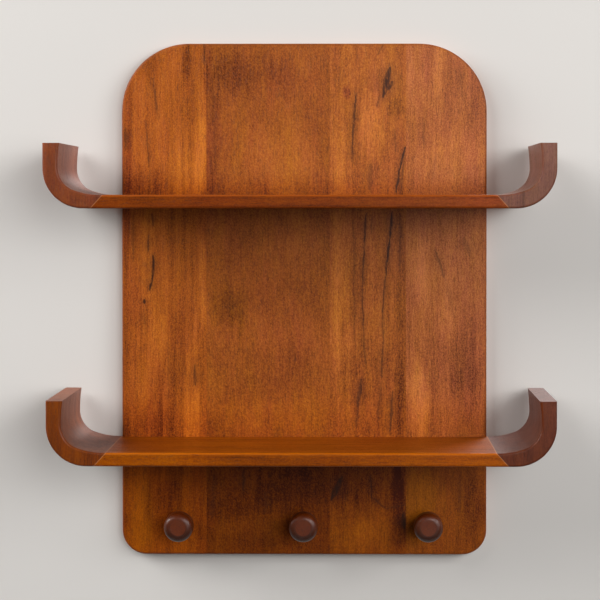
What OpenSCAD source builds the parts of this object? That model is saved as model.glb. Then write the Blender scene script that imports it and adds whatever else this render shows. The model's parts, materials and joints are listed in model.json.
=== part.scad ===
// Wall shelf with two curved-end shelves and three turned pegs.
// The wall is the plane y = 0, the front faces -Y, and the origin is the
// middle of the panel's back face.

/* [Panel] */
// Width of the back panel
panel_w = 356.5; // [350:0.5:370]
// Height of the back panel
panel_h = 500; // [480:1:520]
// Thickness of the back panel
panel_t = 15; // [14:0.5:20]
// Radius of the two upper corners
top_corner_r = 66; // [50:1:72]
// Radius of the two lower corners
bottom_corner_r = 24; // [16:1:32]
// Rounding of the panel's front edges
panel_edge_r = 2.5; // [1:0.5:4]
// Width of the left stave
left_stave_w = 82.7; // [78:0.5:88]
// Width of the stave left of the middle
middle_left_stave_w = 120.5; // [115:0.5:124]
// Width of the stave right of the middle, the last stave takes the rest
middle_right_stave_w = 74.5; // [66:0.5:78]

/* [Shelf boards] */
// Thickness of the shelf boards
board_t = 12.5; // [12:0.25:14]
// Depth of the shelves, with the part let into the panel
shelf_depth = 110; // [90:1:130]
// Depth of the grooves in the panel that hold the shelves
groove_depth = 6; // [4:0.5:7]
// Panel's lower edge to the top of the upper shelf
upper_shelf_height = 352; // [340:1:360]
// Panel's lower edge to the top of the lower shelf
lower_shelf_height = 115.5; // [100:0.5:130]
// Rounding of the shelves' front edges
shelf_edge_r = 2; // [1:0.25:3]
// How much further the upper board runs on its left
upper_left_extra = 2.5; // [0:0.5:4]

/* [Curved ends] */
// Length of a curved end, from the upper line of its joint to its outer face
end_l = 55.2; // [54.2:0.2:70]
// Height of a curved end above the shelf's underside
end_h = 60; // [52:1:72]
// Outer radius of the bend
bend_outer_r = 37; // [35:0.5:39]
// Inner radius of the bend
bend_inner_r = 23; // [21:0.5:24.5]
// Radius of the long arc in which the bend runs out onto the shelf
run_out_r = 70; // [60:1:90]
// Distance from the lip's inner face over which the bend runs out
run_out_l = 39; // [33:0.5:39.5]
// Thickness of the lip just above the bend
lip_t = 13.8; // [13:0.1:14.6]
// Thickness of the lip at its top
lip_top_t = 15.4; // [15:0.1:17]
// Lean of the glued joint between board and curved end
joint_angle = 42; // [35:1:45]
// How far the joint's upper line stays clear of the panel's side
joint_gap = 0.8; // [0.4:0.1:2]

/* [Pegs] */
// Distance between neighbouring pegs
peg_spacing = 120; // [106:1:130]
// Panel's lower edge to the middle of the pegs
peg_height = 33; // [26:1:45]
// How far a peg stands out from the panel
peg_reach = 38; // [32:1:46]
// Diameter of a peg's head
peg_head_d = 28; // [26:0.5:32]
// Length of a peg's head
peg_head_l = 16; // [14:0.5:18]
// Rounding of the head's front edge
peg_front_r = 6; // [4:0.5:7]
// Diameter of a peg's neck
peg_neck_d = 14; // [12:0.5:16]
// Diameter of the tenon glued into the panel
peg_tenon_d = 10; // [8:0.5:11]
// Depth of the hole that takes the tenon
peg_hole_depth = 11; // [8:0.5:12]

/* [Fixing screws] */
// Diameter of the wood screws
screw_d = 4; // [3.5:0.5:5]
// Length of the wood screws
screw_l = 40; // [30:5:50]
// Diameter of the countersunk screw heads
screw_head_d = 8; // [7.5:0.5:9]

/* [Keyholes for hanging] */
// Distance between the two keyholes
keyhole_spacing = 240; // [220:1:250]
// Panel's top edge to the middle of the round entry holes
keyhole_drop = 50; // [40:1:70]
// Diameter of the round entry holes
keyhole_entry_d = 10; // [9:0.5:12]
// Width of the slot for the wall screw's shank
keyhole_slot_w = 4.5; // [4:0.25:5]
// Length of the slot above the entry hole
keyhole_slot_l = 12; // [8:1:16]
// Wood left in front of the wall screw's head
keyhole_lip = 4; // [3:0.5:5]
// Depth of the keyholes
keyhole_depth = 9; // [7.5:0.5:10]

/* [Hidden] */
$fn = 96;

// Rounding of edges that face the wall
rear_edge_r = 1;
// Play of a round part in its hole, on the diameter
hole_play = 0.2;
// Overlap that lets a cutting shape reach past a surface
past = 1;

panel_bottom = -panel_h / 2;
panel_front = -panel_t;
shelf_back = panel_front + groove_depth;

// Glued seams of the panel, from left to right
left_seam = -panel_w / 2 + left_stave_w;
middle_seam = left_seam + middle_left_stave_w;
right_seam = middle_seam + middle_right_stave_w;

// Undersides of the two shelves
upper_shelf_z = panel_bottom + upper_shelf_height - board_t;
lower_shelf_z = panel_bottom + lower_shelf_height - board_t;

// Upper line of the joints, and how much further out their lower line is
joint_x = panel_w / 2 + joint_gap;
joint_lean = board_t * tan(joint_angle);

// A curved end is made of two bent layers that share their middle
layer_t = 9;
// Centres and angle of the inner face's two arcs, the bend and its long run-out. The
// run-out goes on under the bend, whose face starts a trace below it, so that the two
// meet in one clean line.
run_out_centre = [lip_t + run_out_l, board_t + run_out_r];
run_out_angle = asin((run_out_l - bend_inner_r) / (run_out_r - bend_inner_r));
run_out_past = 6;
bend_drop = 0.1;
inner_centre = [
    lip_t + bend_inner_r,
    run_out_centre[1] - (run_out_r - bend_inner_r) * cos(run_out_angle) - bend_drop
];
// The large arc that widens the lip above the bend
flare_rise = end_h - inner_centre[1];
flare_gain = lip_top_t - lip_t;
flare_r = (flare_rise * flare_rise + flare_gain * flare_gain) / (2 * flare_gain);
flare_angle = asin(flare_rise / flare_r) + 1.5;

// Peg profile, along its axis from the face of the panel
peg_head_back = peg_reach - peg_head_l;
peg_cove_r = (peg_head_d - peg_neck_d) / 2 - 2;
peg_rim_r = 1.5;
peg_tenon_l = peg_hole_depth - 0.5;
peg_x = [-peg_spacing, 0, peg_spacing];
peg_z = panel_bottom + peg_height;

// Wood screws through the panel into the back edge of the shelves, in the middle of each stave
screw_x = [
    (left_seam - panel_w / 2) / 2,
    (left_seam + middle_seam) / 2,
    (middle_seam + right_seam) / 2,
    (right_seam + panel_w / 2) / 2
];
screw_tip_l = 5;
screw_sink = 0.5;
screw_cone_h = (screw_head_d - screw_d) / 2;
screw_cross_w = 1.2;
screw_cross_l = 4.6;
screw_cross_depth = 1.4;

keyhole_z = panel_h / 2 - keyhole_drop;

wood_left = "#8f4a22";
wood_middle_left = "#9a4e26";
wood_middle_right = "#a4592b";
wood_right = "#9b5028";
wood_board = "#8c4614";
wood_end = "#71361f";
wood_peg = "#582c1a";
steel = "#a8a9ab";

// The waste outside a rounded corner whose sides are the two axes
module corner_waste(r) {
    difference() {
        translate([-past, -past]) square(r + past);
        translate([r, r]) circle(r);
    }
}

// A half section of the panel with its outer edge at x = width, y is its thickness
module panel_rim(width) {
    difference() {
        square([width, panel_t]);
        translate([width, panel_t]) rotate(180) corner_waste(panel_edge_r);
        translate([width, 0]) rotate(90) corner_waste(rear_edge_r);
    }
}

// The upper half of a panel lying on its back, with two round corners
module panel_half(corner_r) {
    corner_x = panel_w / 2 - corner_r;
    corner_y = panel_h / 2 - corner_r;
    for (side = [-1, 1]) translate([side * corner_x, corner_y, 0])
        rotate_extrude() panel_rim(corner_r);
    translate([-corner_x, 0, 0]) rotate([90, 0, 90])
        linear_extrude(2 * corner_x) panel_rim(panel_h / 2);
    mirror([0, 1, 0]) rotate([90, 0, 0]) linear_extrude(corner_y) {
        panel_rim(panel_w / 2);
        mirror([1, 0]) panel_rim(panel_w / 2);
    }
}

// The whole panel lying on its back
module panel_body() {
    panel_half(top_corner_r);
    mirror([0, 1, 0]) panel_half(bottom_corner_r);
}

// An upright slot outline with round ends, from y = 0 up to y = length
module slot_outline(width, length) {
    circle(d = width);
    translate([0, length]) circle(d = width);
    translate([-width / 2, 0]) square([width, length]);
}

// A keyhole as it is routed into the back of the panel
module keyhole() {
    translate([0, 0, -past]) linear_extrude(keyhole_depth + past) circle(d = keyhole_entry_d);
    translate([0, 0, -past]) linear_extrude(keyhole_depth + past)
        slot_outline(keyhole_slot_w, keyhole_slot_l);
    translate([0, 0, keyhole_lip]) linear_extrude(keyhole_depth - keyhole_lip)
        slot_outline(keyhole_entry_d, keyhole_slot_l);
}

// The countersunk hole for one shelf screw, bored from the back of the panel
module screw_hole() {
    head_r = (screw_head_d + hole_play) / 2;
    shank_r = (screw_d + hole_play) / 2;
    rotate_extrude() polygon([
        [0, -past],
        [head_r, -past],
        [head_r, screw_sink],
        [shank_r, screw_sink + screw_cone_h],
        [shank_r, screw_sink + screw_l + past],
        [0, screw_sink + screw_l + past]
    ]);
}

// Everything that is cut out of the panel
module panel_cuts() {
    for (shelf_z = [upper_shelf_z, lower_shelf_z]) {
        translate([-panel_w, shelf_z, panel_t - groove_depth])
            cube([2 * panel_w, board_t, groove_depth + past]);
        for (x = screw_x) translate([x, shelf_z + board_t / 2, 0]) screw_hole();
    }
    for (x = peg_x) translate([x, peg_z, panel_t - peg_hole_depth])
        cylinder(d = peg_tenon_d + hole_play, h = peg_hole_depth + past);
    for (side = [-1, 1]) translate([side * keyhole_spacing / 2, keyhole_z, 0]) keyhole();
}

// Stands a shape drawn on its back upright against the wall
module upright() {
    rotate([90, 0, 0]) children();
}

// One stave, the part of the panel from one seam to the next
module stave(from_x, to_x) {
    upright() difference() {
        intersection() {
            panel_body();
            translate([from_x, -panel_h, -past])
                cube([to_x - from_x, 2 * panel_h, panel_t + 2 * past]);
        }
        panel_cuts();
    }
}

module panel_stave_left() {
    color(wood_left) stave(-panel_w / 2 - past, left_seam);
}

module panel_stave_middle_left() {
    color(wood_middle_left) stave(left_seam, middle_seam);
}

module panel_stave_middle_right() {
    color(wood_middle_right) stave(middle_seam, right_seam);
}

module panel_stave_right() {
    color(wood_right) stave(right_seam, panel_w / 2 + past);
}

// Section of a shelf board, x is its thickness and y runs from back to front
module board_section() {
    difference() {
        square([board_t, shelf_depth]);
        translate([0, shelf_depth]) rotate(-90) corner_waste(shelf_edge_r);
        translate([board_t, shelf_depth]) rotate(180) corner_waste(shelf_edge_r);
    }
}

// All that lies on one side of a right-hand joint, out to far_x. The joint's upper line
// is at x = 0, and its lower line leans outwards.
module beside_joint(far_x) {
    reach = past * tan(joint_angle);
    translate([0, 0, -past]) linear_extrude(shelf_depth + 2 * past) polygon([
        [-reach, board_t + past],
        [joint_lean + reach, -past],
        [far_x, -past],
        [far_x, board_t + past]
    ]);
}

// A shelf's centre board, sawn to the joints, its underside at z = 0 and its back at y = 0
module shelf_board(extra_left) {
    left = joint_x + extra_left;
    overrun = joint_lean + past;
    waste_l = 2 * overrun;
    upright() difference() {
        translate([-left - overrun, 0, 0]) rotate([90, 0, 90])
            linear_extrude(left + joint_x + 2 * overrun) board_section();
        translate([joint_x, 0, 0]) beside_joint(waste_l);
        mirror([1, 0, 0]) translate([left, 0, 0]) beside_joint(waste_l);
        for (x = screw_x) translate([x, board_t / 2, shelf_back]) screw_hole();
    }
}

module upper_shelf_board() {
    color(wood_board) translate([0, shelf_back, upper_shelf_z]) shelf_board(upper_left_extra);
}

module lower_shelf_board() {
    color(wood_board) translate([0, shelf_back, lower_shelf_z]) shelf_board(0);
}

// Section of one bent layer, its open face at x = 0 and y from back to front
module layer_section() {
    difference() {
        square([layer_t, shelf_depth]);
        translate([0, shelf_depth]) rotate(-90) corner_waste(shelf_edge_r);
        corner_waste(rear_edge_r);
    }
}

// The outer layer of a curved end: underside, bend and outer side of the lip, with the
// outer side at x = 0
module outer_layer() {
    translate([bend_outer_r, 0, 0]) rotate([90, 0, 90])
        linear_extrude(end_l - bend_outer_r) layer_section();
    translate([bend_outer_r, bend_outer_r, 0]) rotate([0, 0, 180]) rotate_extrude(angle = 90)
        translate([bend_outer_r, 0]) mirror([1, 0]) layer_section();
    translate([0, bend_outer_r, 0]) mirror([0, 1, 0]) rotate([90, 0, 0])
        linear_extrude(end_h - bend_outer_r + past) layer_section();
}

// The inner layer of a curved end: top, long run-out, bend and the inner side that
// widens the lip
module inner_layer() {
    translate([run_out_centre[0], board_t, 0]) mirror([0, 1, 0]) rotate([90, 0, 90])
        linear_extrude(end_l - run_out_centre[0]) layer_section();
    translate([run_out_centre[0], run_out_centre[1], 0]) mirror([1, 0, 0])
        rotate([0, 0, -90]) rotate_extrude(angle = run_out_angle + run_out_past)
            translate([run_out_r, 0]) layer_section();
    translate([inner_centre[0], inner_centre[1], 0]) rotate([0, 0, 180])
        rotate_extrude(angle = 90 - run_out_angle)
            translate([bend_inner_r, 0]) layer_section();
    translate([lip_t + flare_r, inner_centre[1], 0]) mirror([1, 0, 0])
        rotate_extrude(angle = flare_angle) translate([flare_r, 0]) layer_section();
}

// A right-hand curved end, with the upper line of its joint at x = 0, its underside at
// z = 0 and its back at y = 0
module curved_end() {
    color(wood_end) upright() difference() {
        translate([end_l, 0, 0]) mirror([1, 0, 0]) {
            outer_layer();
            inner_layer();
        }
        translate([-past, end_h, -past])
            cube([end_l + 2 * past, end_h, shelf_depth + 2 * past]);
        beside_joint(-end_l);
    }
}

module upper_left_end() {
    translate([-joint_x - upper_left_extra, shelf_back, upper_shelf_z])
        mirror([1, 0, 0]) curved_end();
}

module upper_right_end() {
    translate([joint_x, shelf_back, upper_shelf_z]) curved_end();
}

module lower_left_end() {
    translate([-joint_x, shelf_back, lower_shelf_z]) mirror([1, 0, 0]) curved_end();
}

module lower_right_end() {
    translate([joint_x, shelf_back, lower_shelf_z]) curved_end();
}

// Half of a peg's outline, x is the radius and y = 0 lies on the face of the panel
module peg_outline() {
    head_r = peg_head_d / 2;
    neck_r = peg_neck_d / 2;
    translate([0, -peg_tenon_l]) square([peg_tenon_d / 2, peg_tenon_l]);
    square([neck_r, peg_head_back]);
    translate([neck_r, peg_head_back - peg_cove_r]) difference() {
        square(peg_cove_r);
        translate([peg_cove_r, 0]) circle(peg_cove_r);
    }
    difference() {
        translate([0, peg_head_back]) square([head_r, peg_head_l]);
        translate([head_r, peg_reach]) rotate(180) corner_waste(peg_front_r);
        translate([head_r, peg_head_back]) rotate(90) corner_waste(peg_rim_r);
    }
}

// A turned peg at one of the places along the panel's lower edge
module peg(place) {
    color(wood_peg) translate([peg_x[place], panel_front, peg_z]) upright()
        rotate_extrude() peg_outline();
}

module left_peg() {
    peg(0);
}

module middle_peg() {
    peg(1);
}

module right_peg() {
    peg(2);
}

// A countersunk wood screw, its head at z = 0 and its point up
module wood_screw() {
    head_r = screw_head_d / 2;
    shank_r = screw_d / 2;
    difference() {
        rotate_extrude() polygon([
            [0, 0],
            [head_r, 0],
            [shank_r, screw_cone_h],
            [shank_r, screw_l - screw_tip_l],
            [0, screw_l]
        ]);
        for (turn = [0, 90]) rotate([0, 0, turn])
            translate([-screw_cross_l / 2, -screw_cross_w / 2, -past])
                cube([screw_cross_l, screw_cross_w, screw_cross_depth + past]);
    }
}

// The row of screws that holds one shelf
module shelf_screws(shelf_z) {
    color(steel) upright()
        for (x = screw_x) translate([x, shelf_z + board_t / 2, screw_sink]) wood_screw();
}

module upper_shelf_screws() {
    shelf_screws(upper_shelf_z);
}

module lower_shelf_screws() {
    shelf_screws(lower_shelf_z);
}

panel_stave_left();
panel_stave_middle_left();
panel_stave_middle_right();
panel_stave_right();
upper_shelf_board();
lower_shelf_board();
upper_left_end();
upper_right_end();
lower_left_end();
lower_right_end();
left_peg();
middle_peg();
right_peg();
upper_shelf_screws();
lower_shelf_screws();
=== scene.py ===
"""Finishes a wooden wall shelf: stained staves, boards, curved ends and turned pegs."""

import json
import math

import bmesh
import bpy
from bpy.props import FloatProperty, FloatVectorProperty, PointerProperty
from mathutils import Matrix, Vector


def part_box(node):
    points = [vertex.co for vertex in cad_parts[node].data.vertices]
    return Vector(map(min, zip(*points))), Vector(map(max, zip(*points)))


bl_info = {
    "name": "Wall Shelf Finish",
    "version": (1, 0, 0),
    "blender": (4, 5, 0),
    "location": "View3D > Sidebar > Wall Shelf",
    "description": "Stains and lacquers the wall shelf's pieces and sets up its stage",
    "category": "Object",
}

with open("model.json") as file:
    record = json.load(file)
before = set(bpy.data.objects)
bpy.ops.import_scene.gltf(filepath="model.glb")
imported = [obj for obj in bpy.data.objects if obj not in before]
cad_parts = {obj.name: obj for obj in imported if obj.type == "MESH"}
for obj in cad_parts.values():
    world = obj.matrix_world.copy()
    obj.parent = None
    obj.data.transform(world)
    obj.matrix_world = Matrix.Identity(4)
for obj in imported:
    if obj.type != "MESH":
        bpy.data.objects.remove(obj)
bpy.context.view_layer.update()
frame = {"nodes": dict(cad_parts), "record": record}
MM = 0.001
QUARTER_TURN = math.pi / 2

STAVES = (
    "panel_stave_left",
    "panel_stave_middle_left",
    "panel_stave_middle_right",
    "panel_stave_right",
)
BOARDS = ("upper_shelf_board", "lower_shelf_board")
ENDS = ("upper_left_end", "upper_right_end", "lower_left_end", "lower_right_end")
PEGS = ("left_peg", "middle_peg", "right_peg")
SCREWS = ("upper_shelf_screws", "lower_shelf_screws")
SIDES = {"left": -1.0, "right": 1.0}
PANEL_LOW, PANEL_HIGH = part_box(STAVES[0])[0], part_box(STAVES[-1])[1]

# Mineral streaks and cracks of each stave: start x, start z, end x, end z, width, depth,
# lengths in millimetres from the middle of the panel, depth from 0 to 1
STREAKS = {
    "panel_stave_left": (
        (-97.5, 249, -97.5, 230, 1.4, 0.72),
        (-147.7, 216, -142.6, 176, 2.7, 0.52),
        (-154.4, 175, -151.8, 129, 2.2, 0.49),
        (-174.6, 168, -174, 150, 5.2, 0.59),
        (-149, 84, -147.6, 72, 3.0, 0.65),
        (-152.4, 62, -152.6, 47, 2.4, 0.65),
        (-147.6, 43, -148.4, 21, 4.6, 0.95),
        (-148.4, 22, -151.4, 9, 4.4, 0.95),
        (-156.6, 0, -156.2, -4, 4.3, 0.95),
        (-157.2, -4, -155.7, -30, 2.0, 0.39),
        (-167.5, 84, -167.5, 38, 3.0, 0.45),
        (-133.6, -42, -132.8, -100, 2.7, 0.29),
        (-107.2, -64, -106.4, -84, 3.5, 0.72),
    ),
    "panel_stave_middle_left": (
        (-89, 210, -86.5, 122, 4.1, 0.21),
        (-71, 5, -74.5, -12, 10.3, 0.21),
        (-59.6, -168, -59.6, -187, 5.8, 0.65),
        (-37.4, -190, -37.4, -208, 4.6, 0.45),
        (-88, -172, -90, -214, 5.8, 0.33),
    ),
    "panel_stave_middle_right": (
        (83.6, 226, 77.4, 198, 8.6, 0.95),
        (86.2, 213, 82, 205, 5.2, 0.85),
        (77.5, 249, 71.7, 239, 2.2, 0.45),
        (73.8, 200, 71, 188, 3.0, 0.52),
        (50.5, 201, 46.6, 143, 3.2, 0.80),
        (46.6, 153, 47.2, 135, 6.9, 0.36),
        (65, 132, 63.9, 108, 7.5, 0.42),
        (99, 149, 93, 126, 3.2, 0.95),
        (93, 128, 89.4, 104, 3.0, 0.95),
        (98.4, 143, 94.2, 104, 2.2, 0.59),
        (88.2, 166, 89.6, 141, 2.4, 0.45),
        (60.3, 84, 58.8, 55, 2.6, 0.81),
        (58.8, 57, 56.6, 11, 2.6, 0.75),
        (56.6, 13, 58, -34, 2.6, 0.65),
        (58, -32, 59.8, -64, 2.4, 0.55),
        (56, -78, 52.2, -105, 4.6, 0.72),
        (52.6, -102, 50.6, -124, 3.2, 0.39),
        (86, 86, 83.8, 60, 3.5, 0.95),
        (83.9, 62, 79.5, 24, 3.2, 0.95),
        (79.5, 26, 76.6, -14, 2.6, 0.72),
        (76.6, -12, 77.2, -42, 2.4, 0.59),
        (77.2, -40, 75.6, -76, 3.2, 0.65),
        (75.4, -80, 72, -118, 3.0, 0.39),
        (86.8, -90, 83.8, -130, 3.5, 0.72),
        (66.5, 82, 65.6, 64, 2.2, 0.52),
        (48.5, 77, 49.5, -50, 2.4, 0.35),
        (93.6, 82, 93.2, 28, 3.0, 0.45),
        (37, -174, 26.6, -196, 8.0, 0.95),
        (64.9, -172, 66, -195, 2.4, 0.72),
        (65.8, -193, 79.9, -205, 2.4, 0.59),
        (79, -205, 99, -201, 2.4, 0.45),
        (97.5, -209, 97.5, -224, 6.3, 0.95),
    ),
    "panel_stave_right": (
        (151.3, 228, 154.8, 194, 3.2, 0.29),
        (115.6, 176, 116.8, 148, 3.2, 0.29),
        (127.5, 137, 125, 113, 3.5, 0.29),
        (128, 49, 137, 21, 3.2, 0.55),
        (155.8, 60, 161.7, 43, 7.5, 0.36),
        (139, 16, 147, -18, 3.2, 0.23),
        (152, -172, 152, -208, 3.8, 0.33),
        (133, -170, 132, -190, 3.2, 0.20),
    ),
}

# Soft fields of another shade, on the staves and on the boards' front edges: middle x, middle z,
# half width, half height, how much paler or darker, and how much more golden or redder,
# lengths in millimetres from the middle of the panel; the marked dark fields below the
# lower shelf are painted shade
FIELDS = {
    "panel_stave_left": (
        (-100.5, 148, 7, 62, 0.26, 0.05),
        (-98.8, 20, 5, 62, 0.24, 0.1),
        (-112, 118, 18, 26, 0.16, 0.3),
        (-142, -36, 9, 30, 0.16, 0.4),
        (-108, -118, 16, 34, 0.18, 0.3),
        (-152, 236, 18, 26, -0.14, 0.0),
        (-174, 120, 6, 110, -0.10, -0.8),
        (-116, 232, 5, 22, -0.24, 0.0),
        (-156, 110, 30, 20, -0.20, -0.2),
        (-160, -205, 16, 40, 0.06, 1.2),
        (-152, -126, 34, 28, -0.12, -0.4),
        (-140, -52, 60, 44, -0.09, 0.0),
        (-140, -196, 26, 18, -0.08, 0.0),
        (-164, -236, 26, 16, 0.12, 0.2),
        (-114, 152, 18, 26, 0.12, 0.1),
    ),
    "panel_stave_middle_left": (
        (-70, 222, 34, 26, -0.22, -0.2),
        (-90, 158, 9, 84, -0.16, -0.5),
        (-20, 214, 26, 22, -0.10, -0.3),
        (-20, 144, 44, 40, 0.08, 0.2),
        (-72, -4, 20, 28, -0.16, 0.5),
        (-20, 40, 40, 30, 0.06, -0.2),
        (-14, -112, 44, 30, 0.10, 0.3),
        (-60, -120, 24, 24, 0.08, 0.3),
        (-40, -158, 90, 16, -0.08, 0.0),
        # painted shade below the lower shelf
        (-14, -186, 36, 22, -0.15, 0.0),
        (-46, -222, 40, 14, 0.08, 0.2),
        (-64, -202, 36, 16, -0.08, 0.0),
        (-50, 144, 60, 34, 0.07, 0.0),
        (-40, -70, 90, 30, -0.09, 0.0),
    ),
    "panel_stave_middle_right": (
        (33, 136, 8, 40, 0.18, 0.2),
        (41.7, 202, 4, 7, -0.24, -1.2),
        (33, 20, 9, 110, 0.12, 0.2),
        (66, 172, 14, 34, 0.20, 0.1),
        (94.2, -20, 8, 135, -0.14, 0.0),
        (62, -74, 60, 30, -0.13, 0.0),
        (89, 188, 8, 12, -0.22, 0.3),
        (62, -230, 28, 22, 0.15, 0.4),
        (62, -228, 12, 12, 0.12, 0.2),
        # painted shade below the lower shelf
        (50, -174, 60, 32, -0.17, 0.0),
        (92, -200, 9, 55, -0.22, -0.4),
    ),
    "panel_stave_right": (
        (104.5, 215, 5, 40, 0.12, 0.0),
        (131.5, 218, 6, 44, 0.12, 0.1),
        (112, -100, 12, 48, 0.26, 0.3),
        (150, -122, 36, 26, 0.08, 0.0),
        (142, -64, 60, 32, -0.10, 0.0),
        (148, 132, 44, 30, 0.12, 0.2),
        (128, 34, 34, 44, 0.08, 0.0),
        (156, 204, 34, 34, -0.08, 0.0),
        (112, 34, 12, 40, 0.10, 0.2),
        (158, -62, 18, 60, -0.12, -0.5),
        (168, 120, 14, 60, 0.02, -0.3),
        (140, -15, 14, 22, 0.12, 0.2),
        (112, -198, 25, 40, 0.12, 1.4),
        (165, -200, 16, 34, -0.12, 0.2),
    ),
    "upper_shelf_board": (
        (-178, 96, 22, 40, 0.12, 0.0),
        (-142, 96, 14, 40, -0.05, 0.0),
        (44, 96, 30, 40, -0.06, 0.0),
        (168, 96, 34, 40, 0.06, -0.8),
    ),
    "lower_shelf_board": (
        (-146, -141, 64, 60, 0.20, 0.4),
        (-6, -141, 50, 60, -0.06, 0.0),
        (156, -141, 44, 60, 0.08, -0.2),
    ),
}

# Figure of each stave: strength of its growth rings, its clouding and its hue, and the lean of
# its flecks in radians
FIGURE = {
    "panel_stave_left": (0.70, 0.44, 1.2, 0.0),
    "panel_stave_middle_left": (0.10, 0.46, 1.3, 0.40),
    "panel_stave_middle_right": (0.50, 0.44, 1.3, -0.10),
    "panel_stave_right": (0.28, 0.32, 1.2, 0.06),
}

# How much darker each stave is painted below the lower shelf, as painted shade under it
FOOT_SHADE = {
    "panel_stave_left": -0.20,
    "panel_stave_middle_left": -0.27,
    "panel_stave_middle_right": -0.19,
    "panel_stave_right": -0.21,
}

# How far above each shelf the panel is painted darker, as painted shade in the corner over the
# shelf, in millimetres, and how much darker
CORNER_SHADE = {"upper_shelf_board": (24, -0.13), "lower_shelf_board": (64, -0.125)}

# Stain of each board and curved end, in multiples of its kind's red, green and blue; the four
# ends' differences are partly their own stain and partly painted light and shade for how each
# end is lit
TINT = {
    "upper_shelf_board": (0.84, 0.745, 0.50),
    "lower_shelf_board": (1.08, 1.09, 0.10),
    "upper_left_end": (1.17, 1.13, 1.26),
    "upper_right_end": (0.95, 1.36, 2.70),
    "lower_left_end": (1.05, 0.89, 0.10),
    "lower_right_end": (0.575, 0.46, 0.33),
}

# Shades within one stain, in multiples of its red, green and blue; the foot and corner hues
# colour painted shade, the outline shade is painted shade and the arris shade a painted highlight
DARK_FIGURE = (0.20, 0.11, 0.05)
PALE_FIGURE = (1.75, 2.05, 2.60)
REDDER_HUE = (0.96, 0.80, 1.45)
GOLDEN_HUE = (1.04, 1.20, 0.58)
FOOT_SHADE_HUE = (1.0, 0.88, 0.25)
CORNER_SHADE_HUE = (1.0, 0.86, 0.50)
PAINTED_OUTLINE_SHADE = (0.45, 0.40, 0.35)
PAINTED_ARRIS_HIGHLIGHT = (2.0, 2.3, 3.0)

# Colours of filled pores, of the painted shade on a peg's lower shoulder, and of zinc
PORE_COLOR = (0.03, 0.010, 0.004)
SHOULDER_SHADE_COLOR = (0.02, 0.004, 0.0008)
DULL_ZINC = (0.36, 0.36, 0.37)
BRIGHT_ZINC = (0.58, 0.58, 0.60)

# How much shows, from 0 to 1: a field's hue, the calmer grain in the painted shade below the
# lower shelf, the painted shade along the outline, the painted highlight on the arris, the glue
# and the filled pores
FIELD_HUE = 0.4
FOOT_SHADE_CALM = 0.3
OUTLINE_SHADE_SHARE = 0.5
ARRIS_HIGHLIGHT_SHARE = 0.6
GLUE_SHARE = 0.5
PORE_SHARE = 0.35

# Grains per metre of each noise, in X, Y and Z, with the wood's grain along Z
GRAINS = {
    "wander": (7, 7, 2.6),
    "rings": (150, 90, 3.2),
    "lines": (330, 330, 6.5),
    "clouds": (34, 34, 17),
    "hue": (52, 52, 13),
    "fibres": (640, 640, 40),
    "flecks": (880, 880, 620),
    "pores": (1500, 1500, 130),
    "streak sway": (170, 1, 75),
    "streak breaks": (500, 1, 130),
    "field fray": (140, 1, 14),
    "zinc": (900, 900, 900),
}

# How each kind of piece lies in its tree: its turn, which brings the grain to Z, and in metres
# the place of the first piece and the step to the next
TREE_PLACE = {
    "stave": ((0, 0, 0), (0, 0, 0), (0.37, 0.11, 0.83)),
    "board": ((0, QUARTER_TURN, 0), (0.2, 0.4, 0.1), (0, 0.5, 0)),
    "end": ((0, 0, 0), (0.9, 0, 0.7), (0, 0.3, 0)),
    "peg": ((QUARTER_TURN, 0, 0), (0, 0.2, 0.5), (0.3, 0, 0)),
}

# Lamps: name, turn from the front to the right and lift in degrees, and the setting that holds
# the power
LAMPS = (
    ("side lamp", -75, 25, "side_power"),
    ("left lamp", -45, 36, "left_power"),
    ("front lamp", 20, 9, "front_power"),
    ("right lamp", 52, 17, "right_power"),
    ("back lamp", 150, 35, "back_power"),
)


def slot_of(node):
    """Name of the record's material slot that a CAD node takes its finish from."""
    for part in frame["record"]["subparts"]:
        if part["node"] == node:
            return part["material_slot"]
    raise RuntimeError(f"no material slot for {node}")


class ShelfWoodSettings(bpy.types.PropertyGroup):
    """Stains and lacquer of the shelf's woods"""

    stave_left: FloatVectorProperty(
        name="Left stave", description="Stain of the left stave",
        subtype="COLOR", size=3, min=0, max=1, default=(0.337, 0.081, 0.0087))
    stave_middle_left: FloatVectorProperty(
        name="Middle left stave", description="Stain of the stave left of the middle",
        subtype="COLOR", size=3, min=0, max=1, default=(0.286, 0.0710, 0.0090))
    stave_middle_right: FloatVectorProperty(
        name="Middle right stave", description="Stain of the stave right of the middle",
        subtype="COLOR", size=3, min=0, max=1, default=(0.340, 0.0880, 0.0122))
    stave_right: FloatVectorProperty(
        name="Right stave", description="Stain of the right stave",
        subtype="COLOR", size=3, min=0, max=1, default=(0.355, 0.0970, 0.0218))
    boards: FloatVectorProperty(
        name="Shelf boards", description="Stain of the shelf boards",
        subtype="COLOR", size=3, min=0, max=1, default=(0.203, 0.0400, 0.0020))
    ends: FloatVectorProperty(
        name="Curved ends", description="Stain of the curved ends",
        subtype="COLOR", size=3, min=0, max=1, default=(0.150, 0.034, 0.0085))
    pegs: FloatVectorProperty(
        name="Pegs", description="Stain of the turned pegs",
        subtype="COLOR", size=3, min=0, max=1, default=(0.108, 0.0165, 0.0004))
    streak: FloatVectorProperty(
        name="Streaks", description="Colour of mineral streaks and knots",
        subtype="COLOR", size=3, min=0, max=1, default=(0.036, 0.012, 0.006))
    glue: FloatVectorProperty(
        name="Glue lines", description="Colour of the glue in the slanted joints",
        subtype="COLOR", size=3, min=0, max=1, default=(0.50, 0.20, 0.075))
    glue_width: FloatProperty(
        name="Glue line", description="Width of a glue line",
        unit="LENGTH", min=0.0001, max=0.002, default=0.0006)
    lacquer_roughness: FloatProperty(
        name="Lacquer roughness", description="Roughness of the satin lacquer",
        subtype="FACTOR", min=0, max=1, default=0.40)
    pore_depth: FloatProperty(
        name="Pore depth", description="Depth of the open pores under the lacquer",
        unit="LENGTH", min=0, max=0.001, default=0.00012)


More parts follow.
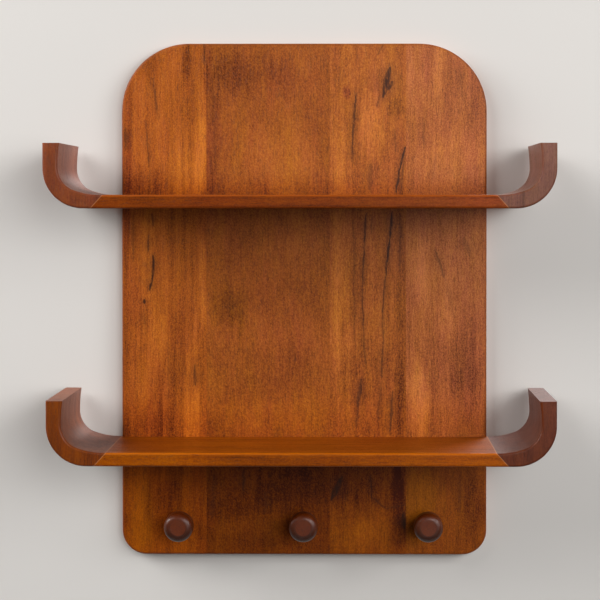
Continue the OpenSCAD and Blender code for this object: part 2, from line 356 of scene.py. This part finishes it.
class ShelfStageSettings(bpy.types.PropertyGroup):
    """Camera, lamps and backdrop around the shelf"""

    wall_color: FloatVectorProperty(
        name="Backdrop", description="Colour of the backdrop and floor",
        subtype="COLOR", size=3, min=0, max=1, default=(0.615, 0.592, 0.565))
    sky_color: FloatVectorProperty(
        name="Surroundings", description="Colour of what lies beyond the backdrop",
        subtype="COLOR", size=3, min=0, max=1, default=(0.66, 0.64, 0.61))
    sky_light: FloatProperty(
        name="Even light", description="Strength of the light from all round",
        min=0, max=2, default=0.05)
    sky_gloss: FloatProperty(
        name="Gloss light", description="Strength of the surroundings in the lacquer",
        min=0, max=2, default=0.16)
    side_power: FloatProperty(
        name="Side lamp", description="Power of the lamp on the left side",
        unit="POWER", min=0, default=56)
    left_power: FloatProperty(
        name="Left lamp", description="Power of the upper left lamp",
        unit="POWER", min=0, default=30)
    front_power: FloatProperty(
        name="Front lamp", description="Power of the lamp in front",
        unit="POWER", min=0, default=29)
    right_power: FloatProperty(
        name="Right lamp", description="Power of the lamp on the right",
        unit="POWER", min=0, default=33)
    back_power: FloatProperty(
        name="Back lamp", description="Power of the lamp that shows the back",
        unit="POWER", min=0, default=80)
    lamp_distance: FloatProperty(
        name="Lamp distance", description="Distance from the shelf to each lamp",
        unit="LENGTH", min=0.5, default=2.6)
    lamp_size: FloatProperty(
        name="Lamp size", description="Width and height of each lamp",
        unit="LENGTH", min=0.1, default=1.2)
    camera_distance: FloatProperty(
        name="Camera distance", description="Distance from the camera to the panel",
        unit="LENGTH", min=0.5, default=1.6)
    camera_tilt: FloatProperty(
        name="Camera tilt", description="How far the camera looks down",
        subtype="ANGLE", default=math.radians(0.7))
    camera_pan: FloatProperty(
        name="Camera pan", description="How far the camera looks to the left",
        subtype="ANGLE", default=math.radians(0.5))


class Nodes:
    """Adds shader nodes to one tree, laid out in rows, and joins their sockets."""

    COLUMNS, COLUMN_WIDTH, ROW_HEIGHT = 14, 190, 260

    def __init__(self, tree):
        self.tree = tree
        self.count = 0

    def add(self, kind, inputs=None, **settings):
        """A new node with its settings, each input a socket to join or a plain value."""
        node = self.tree.nodes.new(kind)
        row, column = divmod(self.count, self.COLUMNS)
        node.location = (column * self.COLUMN_WIDTH, -row * self.ROW_HEIGHT)
        self.count += 1
        for name, value in settings.items():
            setattr(node, name, value)
        for key, value in (inputs or {}).items():
            self.feed(node.inputs[key], value)
        return node

    def feed(self, socket, value):
        """Joins a socket to another one, or gives it a plain value."""
        if isinstance(value, bpy.types.NodeSocket):
            self.tree.links.new(value, socket)
        else:
            socket.default_value = value

    def math(self, operation, *values, clamp=False):
        """Output of a Math node."""
        return self.add("ShaderNodeMath", dict(enumerate(values)),
                        operation=operation, use_clamp=clamp).outputs[0]

    def vector(self, operation, *values):
        """Output of a Vector Math node, the number of a dot product or a length."""
        node = self.add("ShaderNodeVectorMath", dict(enumerate(values)), operation=operation)
        return node.outputs[1 if operation in {"DOT_PRODUCT", "LENGTH"} else 0]

    def smooth(self, value, low, high, bottom=0.0, top=1.0):
        """A smooth step from bottom to top while the value goes from low to high."""
        return self.add(
            "ShaderNodeMapRange",
            {"Value": value, "From Min": low, "From Max": high, "To Min": bottom, "To Max": top},
            interpolation_type="SMOOTHSTEP").outputs[0]

    def mix(self, factor, first, second, blend="MIX"):
        """Mix of two colours, whose sockets come after those for numbers and vectors."""
        node = self.add("ShaderNodeMix", data_type="RGBA", blend_type=blend)
        for index, value in ((0, factor), (6, first), (7, second)):
            self.feed(node.inputs[index], value)
        return node.outputs[2]

    def noise(self, vector, stretch, detail=2.0, roughness=0.5, move=(0, 0, 0)):
        """Soft noise, its grains one over the stretch long in each direction."""
        placed = self.add("ShaderNodeMapping",
                          {"Vector": vector, "Location": move, "Scale": stretch})
        return self.add("ShaderNodeTexNoise",
                        {"Vector": placed.outputs[0], "Scale": 1.0, "Detail": detail,
                         "Roughness": roughness}).outputs[0]

    def object_place(self):
        """The object's own coordinates."""
        return self.add("ShaderNodeTexCoord").outputs["Object"]

    def split(self, vector):
        """Outputs X, Y and Z of a vector."""
        return self.add("ShaderNodeSeparateXYZ", {0: vector}).outputs

    def in_turn(self, operation, values):
        """One result from several values, by one Math node after another."""
        result, *others = values
        for value in others:
            result = self.math(operation, result, value)
        return result

    def total(self, *values):
        """Sum of several values."""
        return self.in_turn("ADD", values)

    def product(self, *values):
        """Product of several values."""
        return self.in_turn("MULTIPLY", values)

    def highest(self, *values):
        """Highest of several values."""
        return self.in_turn("MAXIMUM", values)

    def around_zero(self, value, strength):
        """A value from 0 to 1 turned into one round zero with the given strength."""
        return self.product(self.math("SUBTRACT", value, 0.5), strength)

    def group(self, make, **inputs):
        """Outputs of a shared group placed in this tree, its inputs named with _ for a blank."""
        node = self.add("ShaderNodeGroup", node_tree=shared_group(make))
        for name, value in inputs.items():
            self.feed(node.inputs[name.replace("_", " ")], value)
        return node.outputs


def new_group(name, inputs, outputs):
    """A node group with named sockets, its nodes, its inputs and its outputs."""
    tree = bpy.data.node_groups.new(name, "ShaderNodeTree")
    for label, default in inputs.items():
        kind = "NodeSocketVector" if default is None else "NodeSocketFloat"
        socket = tree.interface.new_socket(label, in_out="INPUT", socket_type=kind)
        if default is not None:
            socket.default_value = default
    for label in outputs:
        tree.interface.new_socket(label, in_out="OUTPUT", socket_type="NodeSocketFloat")
    nodes = Nodes(tree)
    return tree, nodes, nodes.add("NodeGroupInput").outputs, nodes.add("NodeGroupOutput").inputs


def wood_grain():
    """Group: figure, fibres, flecks and pores of a wood whose grain runs along Z."""
    tree, nodes, given, out = new_group(
        "wood grain",
        {"Vector": None, "Rings": 0.6, "Clouds": 0.5, "Fibres": 0.5, "Flecks": 1.1,
         "Hue": 1.2, "Lean": 0.0},
        ("Tone", "Golden", "Pores", "Height"))
    wandering = 24 * MM
    line_from, line_full, line_depth = 0.61, 0.72, -0.22
    pore_from, pore_full = 0.57, 0.68
    fleck_hue, fibre_height = 0.8, 0.35
    lines_apart, hue_apart = (0.3, 0.1, 0.7), (0.7, 0.4, 0.2)
    place = given["Vector"]
    wander = nodes.around_zero(nodes.noise(place, GRAINS["wander"]), wandering)
    bent = nodes.vector("ADD", place,
                        nodes.add("ShaderNodeCombineXYZ", {"X": wander, "Y": wander}).outputs[0])
    leaning = nodes.add("ShaderNodeVectorRotate", {"Vector": place, "Angle": given["Lean"]},
                        rotation_type="Y_AXIS").outputs[0]
    rings = nodes.noise(bent, GRAINS["rings"], detail=3.0, roughness=0.55)
    fibres = nodes.noise(bent, GRAINS["fibres"], detail=3.0, roughness=0.65)
    flecks = nodes.noise(leaning, GRAINS["flecks"], roughness=0.75)
    clouds = nodes.noise(leaning, GRAINS["clouds"], detail=4.0, roughness=0.6)
    lines = nodes.smooth(nodes.noise(bent, GRAINS["lines"], move=lines_apart),
                         line_from, line_full)
    drift = nodes.noise(bent, GRAINS["hue"], detail=4.0, roughness=0.7, move=hue_apart)
    hue = nodes.total(nodes.around_zero(drift, given["Hue"]), nodes.around_zero(flecks, fleck_hue))
    pores = nodes.smooth(nodes.noise(bent, GRAINS["pores"]), pore_from, pore_full)
    tone = nodes.total(
        nodes.around_zero(rings, given["Rings"]),
        nodes.around_zero(clouds, given["Clouds"]),
        nodes.around_zero(fibres, given["Fibres"]),
        nodes.around_zero(flecks, given["Flecks"]),
        nodes.product(lines, nodes.product(given["Rings"], line_depth)))
    nodes.feed(out["Tone"], tone)
    nodes.feed(out["Golden"], hue)
    nodes.feed(out["Pores"], pores)
    nodes.feed(out["Height"],
               nodes.math("SUBTRACT", nodes.product(fibres, fibre_height), pores))
    return tree


def streak_mark():
    """Group: a dark streak from one point to another, thin at its ends, seen from the front."""
    tree, nodes, given, out = new_group(
        "streak mark", {"Vector": None, "Start": None, "End": None, "Width": 2 * MM, "Depth": 0.5},
        ("Mask",))
    sway_width = 3.2 * MM
    end_half, middle_half = 0.24, 0.76
    full_core, halo_reach, halo_depth = 0.15, 4.0, 0.32
    worn, whole, worn_depth = 0.28, 0.54, 0.50
    flat = nodes.vector("MULTIPLY", given["Vector"], (1, 0, 1))
    sway = nodes.around_zero(nodes.noise(flat, GRAINS["streak sway"], roughness=0.6), sway_width)
    place = nodes.vector("ADD", flat, nodes.add("ShaderNodeCombineXYZ", {"X": sway}).outputs[0])
    run = nodes.vector("SUBTRACT", given["End"], given["Start"])
    along = nodes.vector("SUBTRACT", place, given["Start"])
    share = nodes.math("DIVIDE", nodes.vector("DOT_PRODUCT", along, run),
                       nodes.vector("DOT_PRODUCT", run, run), clamp=True)
    scaled = nodes.add("ShaderNodeVectorMath", {0: run, "Scale": share}, operation="SCALE")
    gap = nodes.vector("LENGTH", nodes.vector("SUBTRACT", along, scaled.outputs[0]))
    swell = nodes.product(share, nodes.math("SUBTRACT", 1.0, share), 4 * (middle_half - end_half))
    half = nodes.product(given["Width"], nodes.total(swell, end_half))
    core = nodes.smooth(gap, half, nodes.product(half, full_core))
    halo = nodes.smooth(gap, nodes.product(half, halo_reach), 0.0, top=halo_depth)
    breaks = nodes.noise(flat, GRAINS["streak breaks"], detail=3.0, roughness=0.6)
    broken = nodes.smooth(breaks, worn, whole, bottom=worn_depth)
    nodes.feed(out["Mask"], nodes.product(nodes.highest(core, halo), broken, given["Depth"]))
    return tree


def shade_field():
    """Group: mask of a soft upright oval field, its edge frayed along the grain."""
    tree, nodes, given, out = new_group(
        "shade field", {"Vector": None, "Middle": None, "Reach": None}, ("Mask",))
    fraying, faded, full = 1.6, 1.3, 0.3
    fray = nodes.around_zero(
        nodes.noise(given["Vector"], GRAINS["field fray"], detail=3.0, roughness=0.6), fraying)
    off = nodes.vector("DIVIDE", nodes.vector("SUBTRACT", given["Vector"], given["Middle"]),
                       given["Reach"])
    away = nodes.vector("LENGTH", nodes.vector("MULTIPLY", off, (1, 0, 1)))
    nodes.feed(out["Mask"], nodes.smooth(nodes.total(away, fray), faded, full))
    return tree


def outline_rub():
    """Group: mask of a band of painted shade along the panel's rounded outline, seen from the
    front.
    """
    tree, nodes, given, out = new_group(
        "outline rub",
        {"Vector": None, "Half Width": PANEL_HIGH.x, "Half Height": PANEL_HIGH.z,
         "Top Radius": 66 * MM, "Bottom Radius": 24 * MM, "Band": 3.5 * MM},
        ("Mask",))
    parts = nodes.split(given["Vector"])
    upper = nodes.math("GREATER_THAN", parts["Z"], 0.0)
    larger = nodes.math("SUBTRACT", given["Top Radius"], given["Bottom Radius"])
    radius = nodes.total(given["Bottom Radius"], nodes.product(upper, larger))
    sides = [
        nodes.total(nodes.math("SUBTRACT", nodes.math("ABSOLUTE", parts[axis]), given[half]),
                    radius)
        for axis, half in (("X", "Half Width"), ("Z", "Half Height"))]
    outside = [nodes.highest(side, 0.0) for side in sides]
    corner_shade = nodes.math("SQRT", nodes.total(*(nodes.product(far, far) for far in outside)))
    inside = nodes.math("MINIMUM", nodes.highest(*sides), 0.0)
    depth = nodes.math("SUBTRACT", radius, nodes.total(corner_shade, inside))
    nodes.feed(out["Mask"], nodes.smooth(depth, given["Band"], 0.0))
    return tree


def glue_mark():
    """Group: mask of the thin glue line of a slanted joint, for a joint on either side."""
    tree, nodes, given, out = new_group(
        "glue mark",
        {"Vector": None, "Side": 1.0, "Joint X": 0.179, "Top Z": 0.1, "Lean": 0.9,
         "Width": 0.6 * MM},
        ("Mask",))
    full_glue = 0.4
    parts = nodes.split(given["Vector"])
    out_x = nodes.math("SUBTRACT", nodes.product(parts["X"], given["Side"]), given["Joint X"])
    down = nodes.math("SUBTRACT", given["Top Z"], parts["Z"])
    skew = nodes.math("SUBTRACT", out_x, nodes.product(down, given["Lean"]))
    gap = nodes.math("ABSOLUTE", skew)
    nodes.feed(out["Mask"], nodes.smooth(gap, given["Width"],
                                         nodes.product(given["Width"], full_glue)))
    return tree


def shared_group(make):
    """The node group that a function makes, built once."""
    name = make.__name__.replace("_", " ")
    return bpy.data.node_groups.get(name) or make()


def opaque(color):
    """A colour as the four-part colour that a socket takes."""
    return (*color, 1.0)


def shade(color, factors):
    """A colour with its red, green and blue multiplied, as a four-part colour."""
    return opaque(min(channel * factor, 1.0) for channel, factor in zip(color, factors))


def stain_color(nodes, tone, golden, color):
    """Colour of a stained wood for a tone and a hue round zero."""
    looks = []
    for hue in (REDDER_HUE, GOLDEN_HUE):
        plain = shade(color, hue)
        ramp = nodes.add("ShaderNodeValToRGB", {0: nodes.total(tone, 0.5)})
        stops = ramp.color_ramp.elements
        stops[0].position, stops[0].color = 0.0, shade(plain, DARK_FIGURE)
        stops[1].position, stops[1].color = 1.0, shade(plain, PALE_FIGURE)
        stops.new(0.5).color = plain
        looks.append(ramp.outputs[0])
    return nodes.mix(nodes.math("ADD", golden, 0.5, clamp=True), *looks)


def new_material(name):
    """An empty material and its nodes."""
    material = bpy.data.materials.new(name)
    material.use_nodes = True
    material.node_tree.nodes.clear()
    return material, Nodes(material.node_tree)


def lie_in_tree(nodes, place, kind, number):
    """Coordinates of a piece in its tree, whose grain runs along Z."""
    turn, first, step = TREE_PLACE[kind]
    move = [start + number * apart for start, apart in zip(first, step)]
    return nodes.add("ShaderNodeMapping",
                     {"Vector": place, "Rotation": turn, "Location": move}).outputs[0]


def lacquer(nodes, color, grain, settings, rough_shift=0.0, gloss=0.10, coat=0.04,
            coat_rough=0.30):
    """Satin lacquer over a wood: colour, roughness and pores into the surface."""
    pale_roughness = -0.10
    base = nodes.mix(nodes.product(grain["Pores"], PORE_SHARE), color, opaque(PORE_COLOR))
    rough = nodes.total(settings.lacquer_roughness + rough_shift,
                        nodes.product(grain["Tone"], pale_roughness))
    bump = nodes.add("ShaderNodeBump", {"Strength": 1.0, "Distance": settings.pore_depth,
                                        "Height": grain["Height"]})
    surface = nodes.add("ShaderNodeBsdfPrincipled",
                        {"Base Color": base, "Roughness": rough, "Normal": bump.outputs[0],
                         "Specular IOR Level": gloss, "Coat Weight": coat,
                         "Coat Roughness": coat_rough})
    nodes.add("ShaderNodeOutputMaterial", {"Surface": surface.outputs[0]})


def add_fields(nodes, place, node, tones, hues, part=1.0):
    """Adds the soft fields of a piece to its tones and hues, in the part that a mask shows."""
    for x, z, reach_x, reach_z, gain, golden in FIELDS[node]:
        oval = nodes.group(shade_field, Vector=place, Middle=(x * MM, 0, z * MM),
                           Reach=(reach_x * MM, 1, reach_z * MM))[0]
        mask = nodes.product(oval, part)
        tones.append(nodes.product(mask, gain))
        hues.append(nodes.product(mask, golden * FIELD_HUE))


def add_glue(nodes, place, color, node, settings):
    """Colour with the glue lines of the joints that a board or a curved end has."""
    shelf = node.split("_")[0]
    board_low, board_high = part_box(f"{shelf}_shelf_board")
    for side, sign in SIDES.items():
        if node in BOARDS or side in node:
            end_low, end_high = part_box(f"{shelf}_{side}_end")
            reach = max(sign * board_low.x, sign * board_high.x)
            joint_x = min(sign * end_low.x, sign * end_high.x)
            lean = (reach - joint_x) / (board_high.z - board_low.z)
            mask = nodes.group(glue_mark, Vector=place, Side=sign, Joint_X=joint_x,
                               Top_Z=board_high.z, Lean=lean, Width=settings.glue_width)[0]
            color = nodes.mix(nodes.product(mask, GLUE_SHARE), color, opaque(settings.glue))
    return color


def finish_node(node, material):
    """Gives a CAD node its finish in every material slot."""
    for slot in frame["nodes"][node].material_slots:
        slot.material = material


class SHELF_OT_stave_finish(bpy.types.Operator):
    """Stains and lacquers the four staves of the back panel"""

    bl_idname = "shelf.stave_finish"
    bl_label = "Finish the Staves"

    def execute(self, context):
        settings = context.scene.shelf_wood
        for number, node in enumerate(STAVES):
            color = tuple(getattr(settings, node.removeprefix("panel_")))
            self.finish_stave(node, number, color, settings)
        return {"FINISHED"}

    def finish_stave(self, node, number, color, settings):
        """Stain, figure, streaks and lacquer of one stave."""
        material, nodes = new_material(f"{slot_of(node)} lacquered")
        place = nodes.object_place()
        rings, clouds, hue, lean = FIGURE[node]
        grain = nodes.group(wood_grain, Vector=lie_in_tree(nodes, place, "stave", number),
                            Rings=rings, Clouds=clouds, Hue=hue, Lean=lean)
        # Painted shade: the front below the lower shelf and a band above each shelf are painted
        # darker and redder, with calmer grain below the shelf
        foot_shade, corner_shades = self.deeper_stain(nodes, place)
        calm = nodes.math("SUBTRACT", 1.0, nodes.product(foot_shade, FOOT_SHADE_CALM))
        tones, hues = [nodes.product(grain["Tone"], calm)], [grain["Golden"]]
        add_fields(nodes, place, node, tones, hues)
        tones.append(nodes.product(foot_shade, FOOT_SHADE[node]))
        for corner_shade, (_reach, darker) in zip(corner_shades, CORNER_SHADE.values()):
            tones.append(nodes.product(corner_shade, darker))
        stained = stain_color(nodes, nodes.total(*tones), nodes.total(*hues), color)
        stained = nodes.mix(foot_shade, stained, opaque(FOOT_SHADE_HUE), "MULTIPLY")
        stained = nodes.mix(nodes.highest(*corner_shades), stained, opaque(CORNER_SHADE_HUE), "MULTIPLY")
        # Painted shade: a darker band along the panel's rounded outline.
        outline_shade_mask = nodes.group(outline_rub, Vector=place)[0]
        edged = nodes.mix(nodes.product(outline_shade_mask, OUTLINE_SHADE_SHARE), stained, shade(color, PAINTED_OUTLINE_SHADE))
        marks = [
            nodes.group(streak_mark, Vector=place, Start=(x1 * MM, 0, z1 * MM),
                        End=(x2 * MM, 0, z2 * MM), Width=width * MM, Depth=depth)[0]
            for x1, z1, x2, z2, width, depth in STREAKS[node]]
        marked = nodes.mix(nodes.highest(*marks), edged, opaque(settings.streak))
        lacquer(nodes, marked, grain, settings)
        finish_node(node, material)

    def deeper_stain(self, nodes, place):
        """Masks of painted shade on the panel's front: below the lower shelf, and above each
        shelf.
        """
        parts = nodes.split(place)
        front = nodes.smooth(parts["Y"], PANEL_HIGH.y, (PANEL_LOW.y + PANEL_HIGH.y) / 2)
        low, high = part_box("lower_shelf_board")
        foot_shade = nodes.product(nodes.smooth(parts["Z"], high.z, low.z), front)
        corner_shades = []
        for board, (reach, _darker) in CORNER_SHADE.items():
            low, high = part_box(board)
            corner_shades.append(nodes.product(
                nodes.smooth(parts["Z"], low.z, high.z),
                nodes.smooth(parts["Z"], high.z + reach * MM, high.z), front))
        return foot_shade, corner_shades


class SHELF_OT_board_finish(bpy.types.Operator):
    """Stains and lacquers the two shelf boards"""

    bl_idname = "shelf.board_finish"
    bl_label = "Finish the Boards"

    def execute(self, context):
        settings = context.scene.shelf_wood
        front_fades, front_full = 3 * MM, 1 * MM
        arris_starts, arris_full = 2.2 * MM, 0.7 * MM
        for number, node in enumerate(BOARDS):
            material, nodes = new_material(f"{node} lacquered")
            place = nodes.object_place()
            grain = nodes.group(
                wood_grain, Vector=lie_in_tree(nodes, place, "board", number),
                Rings=0.6, Clouds=0.5, Fibres=0.4, Flecks=0.7, Hue=1.4)
            color = shade(settings.boards, TINT[node])
            low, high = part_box(node)
            parts = nodes.split(place)
            front = nodes.smooth(parts["Y"], low.y + front_fades, low.y + front_full)
            tones, hues = [grain["Tone"]], [grain["Golden"]]
            add_fields(nodes, place, node, tones, hues, front)
            stained = stain_color(nodes, nodes.total(*tones), nodes.total(*hues), color)
            # Painted highlight: a paler strip along the top arris of each board's front.
            arris_highlight = nodes.smooth(parts["Z"], high.z - arris_starts, high.z - arris_full,
                                 top=ARRIS_HIGHLIGHT_SHARE)
            highlighted = nodes.mix(nodes.product(front, arris_highlight), stained, shade(color, PAINTED_ARRIS_HIGHLIGHT))
            glued = add_glue(nodes, place, highlighted, node, settings)
            lacquer(nodes, glued, grain, settings, gloss=0.08, coat=0.03)
            finish_node(node, material)
        return {"FINISHED"}


class SHELF_OT_end_finish(bpy.types.Operator):
    """Stains and lacquers the four curved ends"""

    bl_idname = "shelf.end_finish"
    bl_label = "Finish the Curved Ends"

    def execute(self, context):
        settings = context.scene.shelf_wood
        darker_bottom, paler_top = -0.06, 0.08
        for number, node in enumerate(ENDS):
            material, nodes = new_material(f"{node} lacquered")
            place = nodes.object_place()
            grain = nodes.group(
                wood_grain, Vector=lie_in_tree(nodes, place, "end", number),
                Rings=0.6, Clouds=0.6, Fibres=0.5, Flecks=0.5)
            color = shade(settings.ends, TINT[node])
            low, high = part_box(node)
            rise = nodes.smooth(nodes.split(place)["Z"], low.z, high.z, darker_bottom, paler_top)
            stained = stain_color(nodes, nodes.total(grain["Tone"], rise), grain["Golden"], color)
            glued = add_glue(nodes, place, stained, node, settings)
            lacquer(nodes, glued, grain, settings, gloss=0.18, coat=0.05)
            finish_node(node, material)
        return {"FINISHED"}


class SHELF_OT_peg_finish(bpy.types.Operator):
    """Stains and lacquers the three turned pegs"""

    bl_idname = "shelf.peg_finish"
    bl_label = "Finish the Pegs"

    def execute(self, context):
        settings = context.scene.shelf_wood
        disc_radius, rim_radius, shoulder_height = 6.6 * MM, 7.8 * MM, 10 * MM
        top_shade, bottom_shade = 0.05, 0.85
        for number, node in enumerate(PEGS):
            material, nodes = new_material(f"{node} lacquered")
            place = nodes.object_place()
            grain = nodes.group(
                wood_grain, Vector=lie_in_tree(nodes, place, "peg", number),
                Rings=0.4, Clouds=0.4, Fibres=0.3, Flecks=0.3)
            stained = stain_color(nodes, grain["Tone"], grain["Golden"], tuple(settings.pegs))
            low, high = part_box(node)
            axis = ((low.x + high.x) / 2, 0, (low.z + high.z) / 2)
            off_axis = nodes.vector("MULTIPLY", nodes.vector("SUBTRACT", place, axis), (1, 0, 1))
            # Painted shade: the rim of each peg's head is painted darker, most on its lower side.
            rim = nodes.smooth(nodes.vector("LENGTH", off_axis), disc_radius, rim_radius)
            shade_drop = nodes.smooth(nodes.split(off_axis)["Z"], shoulder_height, -shoulder_height,
                                top_shade, bottom_shade)
            shaded = nodes.mix(nodes.product(rim, shade_drop), stained, opaque(SHOULDER_SHADE_COLOR))
            lacquer(nodes, shaded, grain, settings, rough_shift=-0.04, gloss=0.36, coat=0.10,
                    coat_rough=0.24)
            finish_node(node, material)
        return {"FINISHED"}


class SHELF_OT_screw_finish(bpy.types.Operator):
    """Plates the screws that hold the shelves"""

    bl_idname = "shelf.screw_finish"
    bl_label = "Finish the Screws"

    def execute(self, context):
        cloud_from, cloud_full = 0.3, 0.7
        material, nodes = new_material("screw_steel plated")
        cloud = nodes.noise(nodes.object_place(), GRAINS["zinc"], detail=3.0, roughness=0.6)
        color = nodes.mix(cloud, opaque(DULL_ZINC), opaque(BRIGHT_ZINC))
        rough = nodes.smooth(cloud, cloud_from, cloud_full, bottom=0.38, top=0.55)
        surface = nodes.add("ShaderNodeBsdfPrincipled",
                            {"Base Color": color, "Roughness": rough, "Metallic": 1.0})
        nodes.add("ShaderNodeOutputMaterial", {"Surface": surface.outputs[0]})
        for node in SCREWS:
            finish_node(node, material)
        return {"FINISHED"}


class SHELF_OT_stage(bpy.types.Operator):
    """Sets up the backdrop, the lamps, the surroundings and the camera"""

    bl_idname = "shelf.stage"
    bl_label = "Set the Stage"

    def execute(self, context):
        settings = context.scene.shelf_stage
        context.scene.view_settings.view_transform = "Standard"
        self.hang_backdrop(context, settings)
        self.light_surroundings(context, settings)
        for name, turn, lift, power in LAMPS:
            self.place_lamp(context, name, turn, lift, getattr(settings, power), settings)
        self.place_camera(context, settings)
        return {"FINISHED"}

    def hang_backdrop(self, context, settings):
        """A sheet that hangs behind the shelf and runs out over the floor in a curve."""
        half_width, top, floor, front = 1.7, 1.7, -2.4, -1.2
        cove, cove_steps = 0.5, 16
        bm = bmesh.new()
        first = bm.verts.new((-half_width, 0.0, top))
        second = bm.verts.new((-half_width, 0.0, floor + cove))
        bm.edges.new((first, second))
        curve = bmesh.ops.spin(bm, geom=[second], cent=(-half_width, -cove, floor + cove),
                               axis=(1, 0, 0), angle=-QUARTER_TURN, steps=cove_steps)
        last = next(item for item in curve["geom_last"] if isinstance(item, bmesh.types.BMVert))
        run = bm.verts.new((-half_width, front, floor))
        bm.edges.new((last, run))
        sheet = bmesh.ops.extrude_edge_only(bm, edges=bm.edges[:])
        corner_shades = [v for v in sheet["geom"] if isinstance(v, bmesh.types.BMVert)]
        bmesh.ops.translate(bm, verts=corner_shades, vec=(2 * half_width, 0, 0))
        bmesh.ops.recalc_face_normals(bm, faces=bm.faces[:])
        bm.faces.ensure_lookup_table()
        wall = max(bm.faces, key=lambda face: face.calc_center_median().z)
        if wall.normal.y > 0:
            bmesh.ops.reverse_faces(bm, faces=bm.faces[:])
        mesh = bpy.data.meshes.new("backdrop")
        bm.to_mesh(mesh)
        bm.free()
        for face in mesh.polygons:
            face.use_smooth = True
        backdrop = bpy.data.objects.new("backdrop", mesh)
        context.scene.collection.objects.link(backdrop)
        mesh.materials.append(self.backdrop_paint(settings))

    def backdrop_paint(self, settings):
        """A plain paint that can be looked through from behind and that blocks no lamp."""
        material, nodes = new_material("backdrop paint")
        paint = nodes.add("ShaderNodeBsdfDiffuse", {"Color": opaque(settings.wall_color)})
        clear = nodes.add("ShaderNodeBsdfTransparent")
        behind = nodes.add("ShaderNodeNewGeometry").outputs["Backfacing"]
        shadow = nodes.add("ShaderNodeLightPath").outputs["Is Shadow Ray"]
        both = nodes.add("ShaderNodeMixShader", {0: nodes.highest(behind, shadow),
                                                 1: paint.outputs[0], 2: clear.outputs[0]})
        nodes.add("ShaderNodeOutputMaterial", {"Surface": both.outputs[0]})
        return material

    def light_surroundings(self, context, settings):
        """An even light from all round, and a pale look where the surroundings are seen."""
        world = bpy.data.worlds.new("surroundings")
        world.use_nodes = True
        world.node_tree.nodes.clear()
        nodes = Nodes(world.node_tree)
        path = nodes.add("ShaderNodeLightPath").outputs
        seen = nodes.highest(path["Is Camera Ray"], path["Is Transmission Ray"])
        added_gloss = settings.sky_gloss - settings.sky_light
        strength = nodes.total(settings.sky_light,
                               nodes.product(path["Is Glossy Ray"], added_gloss))
        look = nodes.add("ShaderNodeBackground", {"Color": opaque(settings.sky_color),
                                                  "Strength": nodes.highest(seen, strength)})
        nodes.add("ShaderNodeOutputWorld", {"Surface": look.outputs[0]})
        context.scene.world = world

    def place_lamp(self, context, name, turn, lift, power, settings):
        """A square soft lamp that looks at the shelf, turned and lifted in degrees."""
        light = bpy.data.lights.new(name, "AREA")
        light.shape, light.size, light.energy = "SQUARE", settings.lamp_size, power
        turn, lift = math.radians(turn), math.radians(lift)
        place = settings.lamp_distance * Vector(
            (math.sin(turn) * math.cos(lift), -math.cos(turn) * math.cos(lift), math.sin(lift)))
        lamp = bpy.data.objects.new(name, light)
        lamp.location = place
        lamp.rotation_euler = (-place).to_track_quat("-Z", "Y").to_euler()
        context.scene.collection.objects.link(lamp)

    def place_camera(self, context, settings):
        """A camera that looks almost square at the panel, placed by the photograph's pixels."""
        # Side of the picture, height of the panel, middle of the panel, and the point of the
        # panel that the camera stands square to
        frame_pixels = 600
        panel_pixels = 512.0
        panel_px, panel_py = 304.2, 299.5
        square_px, square_py = 352.0, 200.0
        per_pixel = (PANEL_HIGH.z - PANEL_LOW.z) / panel_pixels
        panel_middle = Vector((0.0, PANEL_LOW.y, (PANEL_HIGH.z + PANEL_LOW.z) / 2))
        view = bpy.data.cameras.new("camera")
        focal_pixels = settings.camera_distance / per_pixel
        view.lens = view.sensor_width * focal_pixels / frame_pixels
        view.clip_start, view.clip_end = 0.05, 50.0
        camera = bpy.data.objects.new("camera", view)
        camera.location = panel_middle + Vector((
            (square_px - panel_px) * per_pixel, -settings.camera_distance,
            (panel_py - square_py) * per_pixel))
        camera.rotation_euler = (QUARTER_TURN - settings.camera_tilt, 0, settings.camera_pan)
        aim = panel_middle - camera.location
        aim.rotate(camera.rotation_euler.to_matrix().transposed())
        view.shift_x = (frame_pixels / 2 - focal_pixels * aim.x / aim.z - panel_px) / frame_pixels
        view.shift_y = (panel_py - frame_pixels / 2 - focal_pixels * aim.y / aim.z) / frame_pixels
        context.scene.collection.objects.link(camera)
        context.scene.camera = camera


OPERATORS = (
    SHELF_OT_stave_finish,
    SHELF_OT_board_finish,
    SHELF_OT_end_finish,
    SHELF_OT_peg_finish,
    SHELF_OT_screw_finish,
    SHELF_OT_stage,
)


class SHELF_PT_panel(bpy.types.Panel):
    """Lists the steps that finish the wall shelf"""

    bl_idname = "SHELF_PT_panel"
    bl_label = "Wall Shelf"
    bl_space_type = "VIEW_3D"
    bl_region_type = "UI"
    bl_category = "Wall Shelf"

    def draw(self, context):
        for group in (context.scene.shelf_wood, context.scene.shelf_stage):
            box = self.layout.box()
            for name in group.__annotations__:
                box.prop(group, name)
        for operator in OPERATORS:
            self.layout.operator(operator.bl_idname)


CLASSES = (ShelfWoodSettings, ShelfStageSettings, *OPERATORS, SHELF_PT_panel)


def register():
    """Registers the add-on's classes and its settings."""
    for cls in CLASSES:
        bpy.utils.register_class(cls)
    bpy.types.Scene.shelf_wood = PointerProperty(type=ShelfWoodSettings)
    bpy.types.Scene.shelf_stage = PointerProperty(type=ShelfStageSettings)


def unregister():
    """Takes the add-on's settings and classes out again."""
    del bpy.types.Scene.shelf_stage
    del bpy.types.Scene.shelf_wood
    for cls in reversed(CLASSES):
        bpy.utils.unregister_class(cls)


def main():
    """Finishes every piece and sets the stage."""
    register()
    for operator in OPERATORS:
        group, name = operator.bl_idname.split(".")
        getattr(getattr(bpy.ops, group), name)()


if __name__ == "__main__":
    main()
